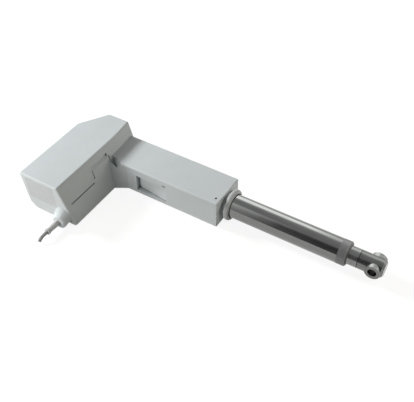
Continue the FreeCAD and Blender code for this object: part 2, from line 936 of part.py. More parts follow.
def build_spindle():
    clip_groove = journal - d.clip_thickness / 2
    clip_start = rear_bearing - d.clip_thickness
    thread = d.spindle_diameter / 2
    stub = d.guide_disc_bore / 2
    blank = turned_x("spindle_blank", [
        (spindle_start, 0),
        (spindle_front, 0),
        (spindle_front, stub),
        (spindle_front - d.guide_disc_length, stub),
        (spindle_front - d.guide_disc_length, thread),
        (adapter_start, thread),
        (adapter_start, journal),
        (rear_bearing, journal),
        (rear_bearing, clip_groove),
        (clip_start, clip_groove),
        (clip_start, journal),
        (spindle_start, journal),
    ])
    node(cut("spindle_cut", blank, key_box("spindle_keyway")), "lead_screw")
    node(key_box("wheel_key_block"), "wheel_key")
    clip = ring(2 * clip_groove, d.clip_diameter, clip_start, rear_bearing)
    node(turned_x("spindle_clip", clip), "spindle_clip")
    disc = ring(d.guide_disc_bore, rod_bore - 2 * d.slide_gap,
                spindle_front - d.guide_disc_length, spindle_front)
    node(turned_x("spindle_guide_disc", disc), "spindle_guide_disc")


def tooth_half(play, out):
    """Half a tooth space's width, this far outside the pitch line; a thread has the play taken off."""
    return tooth_pitch / 4 + play / 4 + out * FLANK_SLOPE


def build_wheel():
    """Tooth spaces run across the wheel at the worm's lead angle; one faces the worm's middle."""
    blank = turned_x("wheel_blank", ring(d.journal_diameter, wheel_diameter, wheel_start, wheel_end))
    side = wheel_end + OVERCUT
    lead_slope = WORM_STARTS * d.gear_module / worm_pitch
    middle = (d.motor_axis - side) * lead_slope
    foot = TOOTH_FOOT * d.gear_module
    tip = d.gear_module + d.tooth_play
    low, high = tooth_half(d.tooth_play, -foot), tooth_half(d.tooth_play, tip)
    space = [
        (middle - low, wheel_pitch / 2 - foot),
        (middle + low, wheel_pitch / 2 - foot),
        (middle + high, wheel_pitch / 2 + tip),
        (middle - high, wheel_pitch / 2 + tip),
    ]
    first = pocket(blank, outline(blank, "tooth_space", "YZ_Plane", space, side), d.wheel_width + 2 * OVERCUT)
    slant(first, -1, lead_slope, 0)
    pattern(blank, first, "X_Axis", WHEEL_TEETH)
    node(cut("wheel_cut", blank, key_box("wheel_keyway")), "worm_wheel")


def bearing(name, start):
    inner = journal + d.running_gap
    outer = bearing_diameter / 2 - d.seat_gap
    lip = (outer - inner) / 4
    end = start + d.bearing_width
    body = turned_x(name, [
        (start, inner),
        (end, inner),
        (end, inner + lip),
        (end - d.bearing_groove, inner + lip),
        (end - d.bearing_groove, outer - lip),
        (end, outer - lip),
        (end, outer),
        (start, outer),
        (start, outer - lip),
        (start + d.bearing_groove, outer - lip),
        (start + d.bearing_groove, inner + lip),
        (start, inner + lip),
    ])
    return node(body, name)


def build_adapter():
    """Clamps the front bearing in the gear case and carries the outer tube on its spigot."""
    inner = (d.clip_diameter + bearing_diameter) / 4
    seat = bearing_diameter / 2 - d.seat_gap
    spigot = tube_bore / 2 - d.seat_gap
    node(turned_x("tube_adapter", [
        (adapter_start, inner),
        (d.case_front + d.adapter_reach, inner),
        (d.case_front + d.adapter_reach, spigot),
        (d.case_front, spigot),
        (d.case_front, seat),
        (adapter_start, seat),
    ]), "tube_adapter")


# Gear case with the rear eye

def build_gear_case():
    barrel_radius = bearing_diameter / 2 + d.case_wall
    chamber = spindle_start - d.clip_thickness
    back = chamber - d.case_wall
    step = bearing_diameter / 2 - d.case_wall / 2
    body = turned_x("gear_case_barrel", [
        (back, 0),
        (back, barrel_radius - 2 * d.case_wall / SLANT),
        (rear_bearing, barrel_radius),
        (d.case_front, barrel_radius),
        (d.case_front, 0),
    ])
    lug_half = d.rear_eye_diameter / 2
    side = [(0, -lug_half), (chamber, -lug_half), (chamber, lug_half), (0, lug_half)]
    pad(body, outline(body, "lug_side", "XZ_Plane", side), d.rear_eye_width, symmetric=True)
    lug_round = circle(body, "lug_round", "XZ_Plane", 0, 0, d.rear_eye_diameter)
    pad(body, lug_round, d.rear_eye_width, symmetric=True)

    axis_x, axis_z = d.motor_axis, d.centre_distance
    worm_case = circle(body, "worm_case", "XZ_Plane", axis_x, axis_z, d.worm_case_diameter, -d.worm_case_end)
    pad(body, worm_case, d.worm_case_end + d.motor_front)
    flange = circle(body, "motor_flange", "XZ_Plane", axis_x, axis_z, d.motor_diameter,
                    d.motor_front - d.motor_flange)
    pad(body, flange, d.motor_flange)

    bore_tools = [
        cylinder("case_bore", "X", bearing_diameter, d.case_front - rear_bearing + OVERCUT,
                 rear_bearing, 0, 0),
        cylinder("case_chamber", "X", 2 * step, d.bearing_width, chamber, 0, 0),
        cylinder("worm_bore", "Y", d.worm_bearing_diameter, d.worm_case_end + d.motor_front + 2 * OVERCUT,
                 axis_x, -d.motor_front - OVERCUT, axis_z),
        cylinder("rear_eye_hole", "Y", d.eye_bore, d.rear_eye_width + 2 * OVERCUT, 0,
                 -d.rear_eye_width / 2 - OVERCUT, 0),
    ]
    for i, (x, z) in enumerate(motor_screw_places()):
        bore_tools.append(cylinder("case_screw_hole%d" % i, "Y", d.screw_diameter,
                                   d.motor_flange + 2 * OVERCUT, x, -d.motor_front - OVERCUT, z))
    node(cut("gear_case_cut", body, *bore_tools), "gear_case")

    worm_bearing = ring_y(d.worm_journal + 2 * d.running_gap, d.worm_bearing_diameter - 2 * d.seat_gap,
                          d.worm_case_end - d.worm_bearing_width, d.worm_case_end)
    node(turned_y("worm_end_bearing", worm_bearing), "worm_end_bearing")


# Motor

motor_length = d.label_reach - d.motor_setback - d.motor_front
motor_rear = -d.motor_front - motor_length
shaft = d.shaft_diameter / 2
core_front = -d.motor_front - d.core_start
core_length = motor_length - d.motor_end_room
magnet_length = core_length + 2 * d.magnet_overhang
core_rear = core_front - core_length
magnet_middle = (core_front + core_rear) / 2
commutator_start = core_rear - d.winding_length - d.slide_gap
commutator_end = commutator_start - d.commutator_length


def motor_screw_places():
    reach = d.motor_screw_circle / 2
    return [(d.motor_axis - reach, d.centre_distance), (d.motor_axis + reach, d.centre_distance)]


def build_motor_shell():
    outer = d.motor_diameter / 2
    inner = outer - d.motor_wall
    hole = d.bush_diameter / 2
    face = -d.motor_front
    can = turned_y("motor_can_blank", [
        (hole, face),
        (outer, face),
        (outer, motor_rear),
        (inner, motor_rear),
        (inner, face - d.motor_wall),
        (hole, face - d.motor_wall),
    ])
    holes = []
    screws = []
    for i, (x, z) in enumerate(motor_screw_places()):
        holes.append(cylinder("can_screw_hole%d" % i, "Y", d.screw_diameter, 2 * d.motor_wall + OVERCUT,
                              x, face - d.motor_wall - OVERCUT, z))
        seat = face - d.motor_wall
        head = cylinder("motor_screw_head%d" % i, "Y", d.screw_head, d.screw_head_height,
                        x, seat - d.screw_head_height, z)
        shank = cylinder("motor_screw_shank%d" % i, "Y", d.screw_diameter,
                         d.motor_wall + d.motor_flange, x, seat, z)
        screws.append(fuse("motor_screw%d" % i, head, shank))
    node(cut("motor_can_cut", can, *holes), "motor_can")
    node(group("motor_screw_set", screws), "motor_screws")

    skirt = inner - d.seat_gap
    holder = d.end_cap_bore / 2
    back = motor_rear - d.end_cap_length
    node(turned_y("motor_end_cap", [
        (hole, back),
        (outer, back),
        (outer, motor_rear),
        (skirt, motor_rear),
        (skirt, motor_rear + d.end_cap_skirt),
        (holder, motor_rear + d.end_cap_skirt),
        (holder, motor_rear),
        (hole, motor_rear),
    ]), "motor_end_cap")

    shaft_bore = d.shaft_diameter + 2 * d.running_gap
    bushes = [
        turned_y("front_bush", ring_y(shaft_bore, d.bush_diameter, face - d.end_cap_length, face)),
        turned_y("rear_bush", ring_y(shaft_bore, d.bush_diameter, back, motor_rear)),
    ]
    node(group("motor_bush_set", bushes), "motor_bushes")


MAGNET_ARC = 120.0


def build_magnets():
    outer = d.motor_diameter - 2 * d.motor_wall - 2 * d.seat_gap
    start = magnet_middle - magnet_length / 2
    arcs = []
    for i, middle in enumerate((0.0, 180.0)):
        rim = doc.addObject("Part::Cylinder", "magnet_rim%d" % i)
        bind(rim, "Radius", outer / 2)
        bind(rim, "Height", magnet_length)
        rim.Angle = MAGNET_ARC
        lying = FreeCAD.Rotation(*TURN["Y"])
        turn = FreeCAD.Rotation(V(0, 0, 1), middle - MAGNET_ARC / 2)
        rim.Placement = FreeCAD.Placement(V(0, 0, 0), lying * turn)
        place(rim, d.motor_axis, start, d.centre_distance)
        gap = cylinder("magnet_bore%d" % i, "Y", outer - 2 * d.magnet_thickness, magnet_length + 2 * OVERCUT,
                       d.motor_axis, start - OVERCUT, d.centre_distance)
        arcs.append(cut("magnet%d" % i, rim, gap))
    node(group("magnet_set", arcs), "motor_magnets")


def build_brushes():
    inner = d.commutator_diameter / 2 + d.slide_gap
    outer = d.end_cap_bore / 2 - 3 * d.slide_gap
    y = (commutator_start + commutator_end) / 2 - d.brush_width / 2
    z = d.centre_distance - d.brush_height / 2
    brushes = [
        box("brush_right", d.motor_axis + inner, y, z, outer - inner, d.brush_width, d.brush_height),
        box("brush_left", d.motor_axis - outer, y, z, outer - inner, d.brush_width, d.brush_height),
    ]
    node(group("brush_set", brushes), "motor_brushes")


def wind_worm(body, root):
    """The worm's threads: each start winds evenly to both sides of the wheel."""
    start = -THREAD_TURNS / 2 * WORM_STARTS * tooth_pitch
    sunk = root - d.seat_gap
    low = tooth_half(-d.tooth_play, worm_pitch / 2 - sunk)
    high = tooth_half(-d.tooth_play, -d.gear_module)
    section = [
        (sunk, start - low),
        (worm_diameter / 2, start - high),
        (worm_diameter / 2, start + high),
        (sunk, start + low),
    ]
    drawing = outline(body, "worm_thread", "XY_Plane", section)
    thread = body.newObject("PartDesign::AdditiveHelix", "worm_helix")
    thread.Profile = drawing
    thread.ReferenceAxis = (drawing, ["V_Axis"])
    thread.Mode = "pitch-turns-angle"
    bind(thread, "Pitch", WORM_STARTS * tooth_pitch)
    thread.Turns = THREAD_TURNS
    pattern(body, thread, "Y_Axis", WORM_STARTS)


def build_rotor():
    neck = d.worm_journal / 2
    rotor_shaft = turned_y("worm_shaft", [
        (0, motor_rear - d.end_cap_length),
        (shaft, motor_rear - d.end_cap_length),
        (shaft, -d.motor_front + d.motor_flange),
        (neck, -d.motor_front + d.motor_flange),
        (neck, d.worm_case_end),
        (0, d.worm_case_end),
    ])
    wind_worm(rotor_shaft, neck)
    node(rotor_shaft, "worm_shaft")

    core_radius = d.motor_diameter / 2 - d.motor_wall - d.seat_gap - d.magnet_thickness - d.air_gap
    core = turned_y("core_blank", ring_y(d.shaft_diameter, 2 * core_radius, core_rear, core_front))
    slots = []
    count = int(SIZES["core_slots"])
    for i in range(count):
        slot = box("core_slot%d" % i, 0, 0, 0,
                   d.slot_depth + OVERCUT, core_length + 2 * OVERCUT, d.slot_width)
        angle = 360.0 * i / count
        turn = FreeCAD.Rotation(V(0, 1, 0), angle)
        inset = core_radius.value - SIZES["slot_depth"]
        corner = turn.multVec(V(inset, 0, -SIZES["slot_width"] / 2))
        slot.Placement = FreeCAD.Placement(V(0, 0, 0), turn)
        place(slot, d.motor_axis + corner.x, core_rear - OVERCUT, d.centre_distance + corner.z)
        slots.append(slot)
    node(cut("core_cut", core, *slots), "armature_core")

    windings = []
    for side, start in (("front", core_front), ("rear", core_rear - d.winding_length)):
        end = start + d.winding_length
        coil = ring_y(d.shaft_diameter + 2 * d.motor_wall, d.winding_diameter, start, end)
        windings.append(turned_y(side + "_winding", coil))
    node(group("winding_set", windings), "armature_windings")
    segments = ring_y(d.shaft_diameter, d.commutator_diameter, commutator_end, commutator_start)
    node(turned_y("commutator", segments), "commutator")


# Limit switches, on the sleeve's far side wall

def build_switches():
    wall_face = half_sleeve - d.sleeve_wall
    y = wall_face - d.board_thickness
    node(box("switch_board", d.board_start, y, -d.board_height / 2,
             d.board_length, d.board_thickness, d.board_height), "limit_switch_board")
    far = d.board_start + d.board_length - d.switch_length
    switches = []
    for i, x in enumerate((d.board_start, far)):
        switches.append(box("switch%d" % i, x, y - d.switch_depth, -d.switch_height / 2,
                            d.switch_length, d.switch_depth, d.switch_height))
    node(group("switch_set", switches), "limit_switches")


# Cable exit

def build_cable_exit(envelope):
    """A round hump that narrows to the cable, with a tapered boot on its nose."""
    body = new_body("gland_hump")
    seat = d.label_reach - d.label_undercut
    loft(body, circle(body, "gland_base", "XZ_Plane", cable_x, cable_z + d.gland_rise, d.gland_base, seat),
         circle(body, "gland_nose", "XZ_Plane", cable_x + d.gland_side, cable_z - d.gland_drop, d.gland_nose,
                -gland_face))
    face = gland_face.value
    round_edges(body, d.gland_round, lambda ends: all(abs(p.y - face) < 1e-6 for p in ends))
    hole = cylinder("gland_hole", "Y", d.cable_diameter + 2 * d.slide_gap, d.label_reach,
                    cable_x, gland_face - OVERCUT, cable_z)
    under = box("gland_under", cable_x - d.gland_base, gland_face, floor - d.gland_base,
                2 * d.gland_base, d.label_reach, d.gland_base)
    node(cut("gland_cut", body, hole, under, envelope), "cable_gland")

    root, tip, collar = d.boot_root / 2, d.boot_tip / 2, d.boot_collar / 2
    inner = d.cable_diameter / 2 + d.slide_gap
    start = gland_face
    end = start - d.boot_length
    boot = new_body("cable_boot")
    profile = [
        (inner, start),
        (root, start),
        (tip, end + d.boot_collar_length),
        (collar, end + d.boot_collar_length),
        (collar, end),
        (inner, end),
    ]
    revolve(boot, outline(boot, "boot_profile", "XY_Plane", profile), "V_Axis")
    node(place(boot, cable_x, 0, cable_z), "cable_boot")


# The cable's route from its exit, straight through the boot, to its bare end
CABLE_EXIT = V(cable_x.value, gland_face.value, cable_z.value)
CABLE_ROUTE = [
    V(0.0, 0.0, 0.0),
    V(0.0, -24.4, 0.0),
    V(-1.4, -29.3, -1.1),
    V(-2.5, -33.3, -3.9),
    V(-3.3, -36.2, -7.3),
]
SHARE = 0.45


def cable_path(points):
    """Straight runs joined by tangent arcs, each as large as its two runs allow."""
    edges = []
    last = points[0]
    for before, corner, after in zip(points, points[1:], points[2:]):
        arrive = (corner - before).normalize()
        leave = (after - corner).normalize()
        reach = SHARE * min((corner - before).Length, (after - corner).Length)
        half_turn = arrive.getAngle(leave) / 2
        radius = reach / math.tan(half_turn)
        inwards = (leave - arrive).normalize()
        middle = corner + inwards * radius * (1 / math.cos(half_turn) - 1)
        start = corner - arrive * reach
        end = corner + leave * reach
        edges.append(Part.LineSegment(last, start).toShape())
        edges.append(Part.Arc(start, middle, end).toShape())
        print("cable bend radius %.1f mm" % radius)
        last = end
    edges.append(Part.LineSegment(last, points[-1]).toShape())
    return Part.Wire(edges)


def build_cable():
    points = [CABLE_EXIT + step for step in CABLE_ROUTE]
    path = cable_path(points)
    radius = SIZES["cable_diameter"] / 2
    section = Part.Wire(Part.makeCircle(radius, points[0], points[1] - points[0]))
    tube = path.makePipeShell([section], True, False)
    expected = math.pi * radius ** 2 * path.Length
    print("cable length %.1f mm, volume ratio %.4f" % (path.Length, tube.Volume / expected))
    item = doc.addObject("Part::Feature", "cable_tube")
    item.Shape = tube
    node(item, "cable")


# Build, test and write

def build_all():
    envelope = motor_block("housing_envelope", floor - OVERCUT, d.cover_height, 0)
    build_cover()
    build_base()
    build_housing_screws()
    build_spindle_housing(envelope)
    build_collar()
    build_outer_tube()
    build_guide_bush()
    build_push_tube()
    build_nut()
    build_rod_end()
    build_spindle()
    build_wheel()
    bearing("spindle_bearing_rear", rear_bearing)
    bearing("spindle_bearing_front", front_bearing)
    build_adapter()
    build_gear_case()
    build_motor_shell()
    build_magnets()
    build_brushes()
    build_rotor()
    build_switches()
    build_cable_exit(envelope)
    build_cable()


def check_document():
    for item in doc.Objects:
        if "Invalid" in item.State or "Error" in item.State:
            raise RuntimeError("%s failed: %s" % (item.Label, item.State))
    for item in nodes:
        if item.Shape.isNull() or not item.Shape.isValid() or not item.Shape.Solids:
            raise RuntimeError("%s has no valid solid" % item.Label)


build_all()
doc.recompute()
check_document()
for item in nodes:
    item.Shape.exportStep("parts/%s.step" % item.Label)
print("%d nodes" % len(nodes))
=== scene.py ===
import json
import math
from collections import namedtuple

import bmesh
import bpy
from mathutils import Matrix, Vector


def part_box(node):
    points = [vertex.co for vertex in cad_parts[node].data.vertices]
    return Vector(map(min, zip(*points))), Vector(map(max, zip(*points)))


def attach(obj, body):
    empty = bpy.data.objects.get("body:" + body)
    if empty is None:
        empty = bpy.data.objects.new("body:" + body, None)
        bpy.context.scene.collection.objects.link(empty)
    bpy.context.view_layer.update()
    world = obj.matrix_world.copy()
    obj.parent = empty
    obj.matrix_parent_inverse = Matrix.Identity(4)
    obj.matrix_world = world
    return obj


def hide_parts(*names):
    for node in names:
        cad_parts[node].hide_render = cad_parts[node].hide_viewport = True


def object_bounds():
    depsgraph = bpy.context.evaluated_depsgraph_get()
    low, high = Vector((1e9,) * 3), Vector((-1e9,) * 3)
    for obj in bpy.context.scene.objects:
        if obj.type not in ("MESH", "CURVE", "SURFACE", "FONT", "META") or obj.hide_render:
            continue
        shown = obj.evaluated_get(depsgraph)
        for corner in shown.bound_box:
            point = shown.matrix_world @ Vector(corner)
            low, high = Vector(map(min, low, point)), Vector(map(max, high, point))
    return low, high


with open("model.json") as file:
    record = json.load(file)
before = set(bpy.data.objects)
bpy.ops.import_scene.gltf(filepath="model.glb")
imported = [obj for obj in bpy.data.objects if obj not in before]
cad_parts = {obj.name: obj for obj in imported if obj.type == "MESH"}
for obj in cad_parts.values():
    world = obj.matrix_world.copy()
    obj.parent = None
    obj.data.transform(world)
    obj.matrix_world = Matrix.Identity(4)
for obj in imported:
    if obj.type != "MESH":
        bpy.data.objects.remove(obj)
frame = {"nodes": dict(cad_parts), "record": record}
cad_low, cad_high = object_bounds()
nodes = frame["nodes"]
scene = bpy.context.scene
scene.view_settings.view_transform = "Standard"


def link(item):
    scene.collection.objects.link(item)
    return item


def mesh_piece(name, shape):
    """A new object with a finished bmesh as its mesh; the bmesh is freed."""
    bmesh.ops.recalc_face_normals(shape, faces=shape.faces)
    mesh = bpy.data.meshes.new(name)
    shape.to_mesh(mesh)
    shape.free()
    return link(bpy.data.objects.new(name, mesh))


def dress(item, material):
    item.data.materials.clear()
    item.data.materials.append(material)


# Camera at the photograph's view

IMAGE_WIDTH = 414
FOCAL_PIXELS = 700.0
SENSOR_WIDTH = 36.0
CLIP_RANGE = (0.01, 100.0)
CAMERA_PLACE = Vector((0.6172, -0.6152, 0.6959))
CAMERA_BACK = Vector((0.3717, -0.6080, 0.7017)).normalized()


def make_camera():
    lens = bpy.data.cameras.new("camera")
    lens.sensor_width = SENSOR_WIDTH
    lens.lens = FOCAL_PIXELS * SENSOR_WIDTH / IMAGE_WIDTH
    lens.clip_start, lens.clip_end = CLIP_RANGE
    camera = link(bpy.data.objects.new("camera", lens))
    right = Vector((0, 0, 1)).cross(CAMERA_BACK).normalized()
    up = CAMERA_BACK.cross(right)
    turn = Matrix((right, up, CAMERA_BACK)).transposed().to_4x4()
    camera.matrix_world = Matrix.Translation(CAMERA_PLACE) @ turn
    scene.camera = camera


# Cable, along its route in the CAD model

CABLE_DIAMETER = 0.005
CABLE_ROUTE = [
    (0.0860, -0.1470, -0.0120),
    (0.0860, -0.1714, -0.0120),
    (0.0846, -0.1763, -0.0131),
    (0.0835, -0.1803, -0.0159),
    (0.0827, -0.1832, -0.0193),
]
CABLE_ROUNDNESS = 8
CABLE_SMOOTHNESS = 24


def make_cable():
    """A tube along the route, with its radius on the points and a bevel of 1.

    A curve's box grows by the radius of its points, whatever the bevel is.
    """
    line = bpy.data.curves.new("cable_flex", "CURVE")
    line.dimensions = "3D"
    line.bevel_depth = 1.0
    line.bevel_resolution = CABLE_ROUNDNESS
    line.resolution_u = CABLE_SMOOTHNESS
    line.use_fill_caps = True
    spline = line.splines.new("NURBS")
    spline.points.add(len(CABLE_ROUTE) - 1)
    for point, place in zip(spline.points, CABLE_ROUTE):
        point.co = (*place, 1.0)
        point.radius = CABLE_DIAMETER / 2
    spline.order_u = 3
    spline.use_endpoint_u = True
    cable = link(bpy.data.objects.new("cable_flex", line))
    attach(cable, "frame")
    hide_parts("cable")
    return cable


# Material helpers

TEXTURE_RANGE = (0.3, 0.7)
WAVE_BANDS_PER_METRE = 10 / math.pi
MICRON = 0.000001


class Paint:
    """A Principled material and short ways to add texture nodes to it, in metres."""

    def __init__(self, name, colour, roughness, metallic=0.0):
        self.material = bpy.data.materials.new(name)
        self.material.use_nodes = True
        self.tree = self.material.node_tree
        self.shader = self.tree.nodes["Principled BSDF"]
        self.set("Base Color", (*colour, 1.0))
        self.set("Roughness", roughness)
        self.set("Metallic", metallic)
        self.colour = colour
        self.tint = None
        self.place = self.add("ShaderNodeTexCoord").outputs["Object"]

    def add(self, kind, **settings):
        item = self.tree.nodes.new(kind)
        for key, value in settings.items():
            setattr(item, key, value)
        return item

    def set(self, socket, value):
        self.shader.inputs[socket].default_value = value

    def join(self, source, target):
        self.tree.links.new(source, target)

    def stretched(self, factors):
        mapping = self.add("ShaderNodeMapping")
        mapping.inputs["Scale"].default_value = factors
        self.join(self.place, mapping.inputs["Vector"])
        return mapping.outputs["Vector"]

    def noise(self, scale, detail, factors=None):
        item = self.add("ShaderNodeTexNoise")
        item.inputs["Scale"].default_value = scale
        item.inputs["Detail"].default_value = detail
        self.join(self.stretched(factors) if factors else self.place, item.inputs["Vector"])
        return item.outputs["Fac"]

    def bands(self, per_metre, axis, distortion):
        item = self.add("ShaderNodeTexWave", wave_type="BANDS", bands_direction=axis)
        item.inputs["Scale"].default_value = per_metre / WAVE_BANDS_PER_METRE
        item.inputs["Distortion"].default_value = distortion
        self.join(self.place, item.inputs["Vector"])
        return item.outputs["Fac"]

    def spread(self, source, low, high):
        """The part of the range that most of a texture's values lie in, spread from low to high."""
        item = self.add("ShaderNodeMapRange")
        item.inputs["From Min"].default_value, item.inputs["From Max"].default_value = TEXTURE_RANGE
        item.inputs["To Min"].default_value = low
        item.inputs["To Max"].default_value = high
        self.join(source, item.inputs["Value"])
        return item.outputs["Result"]

    def mix_colours(self, blend, factor=None):
        """A mix that becomes the base colour, in full without a factor; returns its two inputs."""
        item = self.add("ShaderNodeMix", data_type="RGBA", blend_type=blend)
        item.inputs["Factor"].default_value = 1.0
        if factor:
            self.join(factor, item.inputs["Factor"])
        self.tint = next(socket for socket in item.outputs if socket.type == "RGBA")
        self.join(self.tint, self.shader.inputs["Base Color"])
        return [socket for socket in item.inputs if socket.type == "RGBA"]

    def vary_colour(self, source, darker, lighter):
        """The base colour times a factor that follows the texture."""
        low, high = self.mix_colours("MIX", self.spread(source, 0.0, 1.0))
        low.default_value = (*(c * darker for c in self.colour), 1.0)
        high.default_value = (*(min(1.0, c * lighter) for c in self.colour), 1.0)

    def paint_corner_shade(self, reach, least):
        """Painted shade: the varied colour falls to a share of itself in closed-in corners, where
        ambient occlusion finds them.
        """
        closed = self.add("ShaderNodeAmbientOcclusion", samples=8, only_local=True)
        closed.inputs["Distance"].default_value = reach
        before = self.tint
        unshaded, shade_factor = self.mix_colours("MULTIPLY")
        self.join(before, unshaded)
        self.join(self.spread(closed.outputs["AO"], least, 1.0), shade_factor)

    def vary_roughness(self, source, low, high):
        self.join(self.spread(source, low, high), self.shader.inputs["Roughness"])

    def bump(self, *layers):
        """Layers of (texture, height in microns), one over the other."""
        before = None
        for source, height in layers:
            item = self.add("ShaderNodeBump")
            item.inputs["Strength"].default_value = 1.0
            item.inputs["Distance"].default_value = height * MICRON
            self.join(source, item.inputs["Height"])
            if before:
                self.join(before, item.inputs["Normal"])
            before = item.outputs["Normal"]
        self.join(before, self.shader.inputs["Normal"])


# Materials

HOUSING_GREY = (0.612, 0.66, 0.676)
COLLAR_GREY = (0.49, 0.515, 0.52)
SWITCH_BLACK = (0.04, 0.04, 0.044)
JACKET_GREY = (0.30, 0.31, 0.305)
BOOT_GREY = (0.55, 0.565, 0.565)
LABEL_GREY = (0.515, 0.55, 0.565)
# Reach and least share of the painted shade in closed-in corners of the moulded plastic.
CORNER_SHADE_REACH = 0.006
CORNER_SHADE_SHARE = 0.28


def moulded_plastic(name, colour, roughness):
    """Spark-eroded moulding: a fine grain, faint flow clouds and slight sink."""
    paint = Paint(name, colour, roughness)
    paint.vary_colour(paint.noise(22, detail=4), darker=0.97, lighter=1.03)
    paint.vary_roughness(paint.noise(700, detail=3), low=roughness - 0.06, high=roughness + 0.08)
    # Painted shade: the colour is darker in closed-in corners, recesses and slits, by ambient
    # occlusion.
    paint.paint_corner_shade(CORNER_SHADE_REACH, CORNER_SHADE_SHARE)
    paint.bump((paint.noise(2600, detail=2), 30), (paint.noise(40, detail=2), 120))
    paint.set("Specular IOR Level", 0.4)
    return paint.material


def polished_tube():
    """Hard chrome on drawn tube: long drawing lines and faint smudges."""
    paint = Paint("polished_tube", (0.20, 0.205, 0.20), roughness=0.1, metallic=1.0)
    paint.vary_colour(paint.noise(60, detail=4, factors=(1, 3, 3)), darker=0.94, lighter=1.06)
    paint.vary_roughness(paint.noise(45, detail=5, factors=(1, 4, 4)), low=0.07, high=0.15)
    paint.bump((paint.noise(900, detail=2, factors=(0.02, 1, 1)), 2))
    return paint.material


def satin_ring():
    """Turned ring: fine feed marks round it."""
    paint = Paint("satin_ring", (0.185, 0.189, 0.185), roughness=0.55, metallic=1.0)
    paint.vary_colour(paint.noise(300, detail=4), darker=0.93, lighter=1.07)
    paint.vary_roughness(paint.noise(500, detail=3, factors=(4, 1, 1)), low=0.5, high=0.62)
    paint.bump((paint.bands(2500, "X", distortion=1.5), 6))
    return paint.material


def ground_steel():
    """Centreless-ground rod: marks run round it."""
    paint = Paint("ground_steel", (0.22, 0.225, 0.22), roughness=0.2, metallic=1.0)
    paint.vary_colour(paint.noise(50, detail=4), darker=0.9, lighter=1.08)
    paint.vary_roughness(paint.noise(1200, detail=3, factors=(1, 0.03, 0.03)), low=0.16, high=0.28)
    paint.bump((paint.noise(2500, detail=2, factors=(1, 0.02, 0.02)), 2))
    return paint.material


def cast_end():
    """Die-cast and tumbled rod end."""
    paint = Paint("cast_end", (0.175, 0.18, 0.175), roughness=0.24, metallic=1.0)
    paint.vary_colour(paint.noise(120, detail=5), darker=0.86, lighter=1.1)
    paint.vary_roughness(paint.noise(400, detail=4), low=0.14, high=0.24)
    paint.bump((paint.noise(900, detail=2), 3), (paint.noise(120, detail=2), 20))
    return paint.material


def cast_alloy():
    """Die-cast gear case, with a coarse skin."""
    paint = Paint("cast_alloy", (0.46, 0.47, 0.48), roughness=0.5, metallic=1.0)
    paint.vary_colour(paint.noise(90, detail=5), darker=0.85, lighter=1.1)
    paint.vary_roughness(paint.noise(350, detail=4), low=0.4, high=0.6)
    paint.bump((paint.noise(900, detail=4), 60), (paint.noise(120, detail=2), 100))
    return paint.material


def machined_steel():
    paint = Paint("machined_steel", (0.42, 0.42, 0.43), roughness=0.3, metallic=1.0)
    paint.vary_colour(paint.noise(150, detail=4), darker=0.9, lighter=1.08)
    paint.vary_roughness(paint.noise(900, detail=3), low=0.24, high=0.4)
    paint.bump((paint.noise(1800, detail=2), 8))
    return paint.material


def sintered_bronze():
    paint = Paint("sintered_bronze", (0.5, 0.33, 0.15), roughness=0.45, metallic=1.0)
    paint.vary_colour(paint.noise(600, detail=5), darker=0.75, lighter=1.15)
    paint.vary_roughness(paint.noise(800, detail=4), low=0.38, high=0.58)
    paint.bump((paint.noise(2200, detail=3), 30))
    return paint.material


def gear_plastic():
    paint = Paint("gear_plastic", (0.74, 0.7, 0.6), roughness=0.4)
    paint.vary_colour(paint.noise(70, detail=4), darker=0.95, lighter=1.04)
    paint.vary_roughness(paint.noise(500, detail=3), low=0.34, high=0.48)
    paint.bump((paint.noise(1500, detail=2), 10))
    paint.set("Subsurface Weight", 0.05)
    return paint.material


def ferrite():
    paint = Paint("ferrite", (0.05, 0.05, 0.055), roughness=0.55)
    paint.vary_colour(paint.noise(400, detail=5), darker=0.7, lighter=1.3)
    paint.vary_roughness(paint.noise(900, detail=4), low=0.45, high=0.7)
    paint.bump((paint.noise(2000, detail=3), 30))
    return paint.material


def carbon():
    paint = Paint("carbon", (0.025, 0.025, 0.027), roughness=0.5)
    paint.vary_colour(paint.noise(900, detail=5), darker=0.6, lighter=1.5)
    paint.vary_roughness(paint.noise(1100, detail=4), low=0.4, high=0.65)
    paint.bump((paint.noise(2600, detail=3), 20))
    return paint.material


def enamelled_copper():
    """Wound wire: turns two thirds of a millimetre apart."""
    paint = Paint("enamelled_copper", (0.46, 0.17, 0.07), roughness=0.32, metallic=1.0)
    turns = paint.bands(1500, "DIAGONAL", distortion=2.0)
    paint.vary_colour(turns, darker=0.7, lighter=1.15)
    paint.vary_roughness(paint.noise(700, detail=3), low=0.26, high=0.42)
    paint.bump((turns, 150))
    return paint.material


def circuit_board():
    """Green solder resist over fine glass weave."""
    paint = Paint("circuit_board", (0.02, 0.12, 0.05), roughness=0.35)
    paint.vary_colour(paint.noise(90, detail=3), darker=0.75, lighter=1.3)
    paint.vary_roughness(paint.noise(600, detail=3), low=0.28, high=0.45)
    weave = [paint.bands(1400, axis, distortion=0.5) for axis in "XZ"]
    paint.bump(*((threads, 10) for threads in weave))
    return paint.material


def seal_rubber():
    paint = Paint("seal_rubber", (0.10, 0.102, 0.10), roughness=0.6)
    paint.vary_colour(paint.noise(200, detail=4), darker=0.8, lighter=1.3)
    paint.vary_roughness(paint.noise(900, detail=3), low=0.5, high=0.72)
    paint.bump((paint.noise(1800, detail=3), 20))
    return paint.material


def soft_vinyl(name, colour):
    """Soft PVC: satin, with faint extrusion lines."""
    paint = Paint(name, colour, roughness=0.5)
    paint.vary_colour(paint.noise(160, detail=4), darker=0.93, lighter=1.06)
    paint.vary_roughness(paint.noise(600, detail=3), low=0.42, high=0.58)
    paint.bump((paint.noise(1400, detail=2, factors=(1, 0.05, 1)), 20))
    return paint.material


def label_film():
    paint = Paint("label_film", LABEL_GREY, roughness=0.36)
    paint.vary_colour(paint.noise(90, detail=4), darker=0.97, lighter=1.03)
    paint.vary_roughness(paint.noise(400, detail=3), low=0.3, high=0.42)
    paint.bump((paint.noise(1500, detail=2), 8))
    return paint.material


